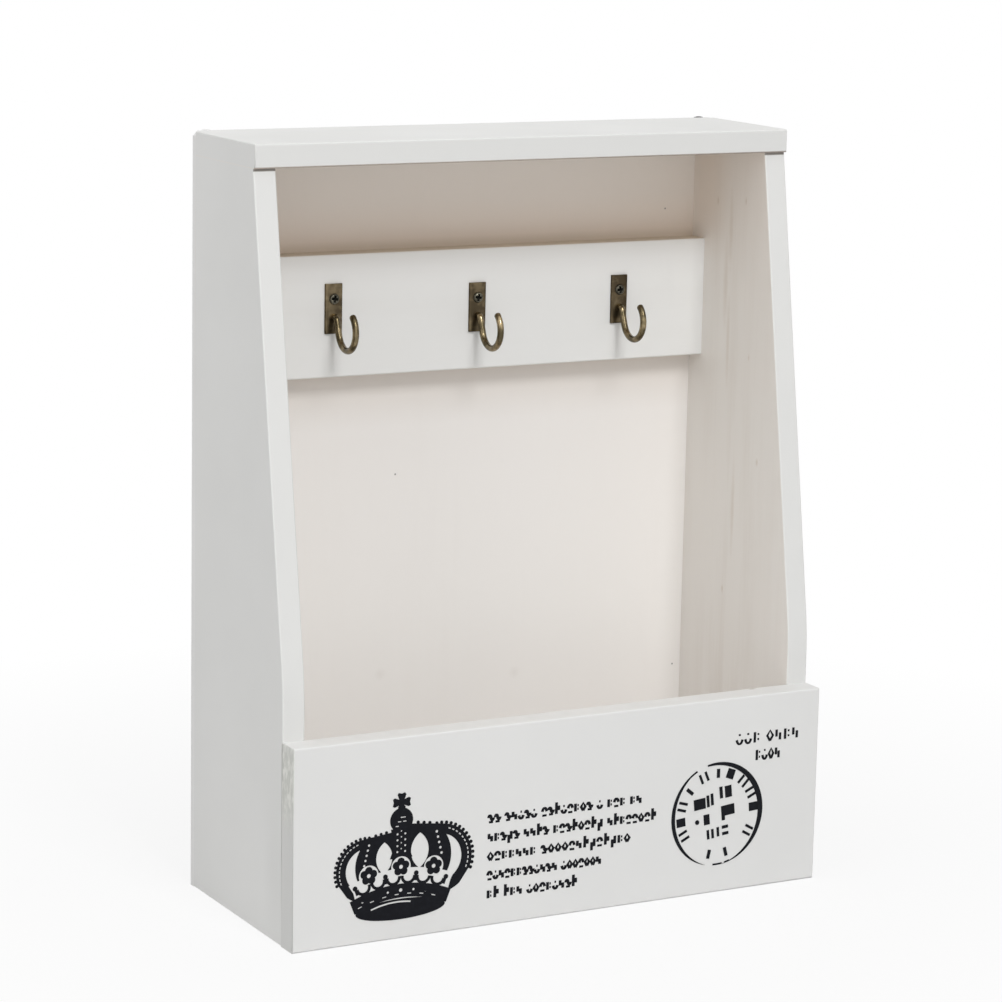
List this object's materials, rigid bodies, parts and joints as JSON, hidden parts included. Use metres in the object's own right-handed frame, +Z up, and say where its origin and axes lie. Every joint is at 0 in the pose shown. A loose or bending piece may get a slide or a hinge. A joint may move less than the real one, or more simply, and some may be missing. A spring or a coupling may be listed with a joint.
{
  "type": "wall key holder",
  "caption": "Wall-hung painted wooden key holder: open-fronted box with sloping side panels, wire hooks on a cross rail and a low bin behind a printed front panel.",
  "frame": {"origin": "middle of the overall width and depth, at the height of the base", "axes": "+Z up, -Y towards the room, +X to the viewer's right when facing the front"},
  "size_m": [0.24, 0.1008, 0.3104],
  "materials": {
    "white_paint": "white satin paint over wood, lightly worn",
    "antique_brass": "dark antique brass, rubbed bright on the edges",
    "zinc_steel": "zinc plated",
    "black_ink": "matt black printing ink"
  },
  "bodies": {
    "root": {"left_side_panel": "white_paint", "right_side_panel": "white_paint", "top_board": "white_paint", "back_panel": "white_paint", "bottom_board": "white_paint", "hook_rail": "white_paint", "front_panel": "white_paint", "left_hook_plate": "antique_brass", "middle_hook_plate": "antique_brass", "right_hook_plate": "antique_brass", "left_hook_wire": "antique_brass", "middle_hook_wire": "antique_brass", "right_hook_wire": "antique_brass", "left_hook_screw": "antique_brass", "middle_hook_screw": "antique_brass", "right_hook_screw": "antique_brass", "left_hanger": "zinc_steel", "right_hanger": "zinc_steel", "hanger_screws": "zinc_steel", "top_brads": "zinc_steel", "front_brads": "zinc_steel", "side_brads": "zinc_steel", "back_nails": "zinc_steel", "crown_print": "black_ink", "stamp_print": "black_ink"}
  },
  "joints": []
}
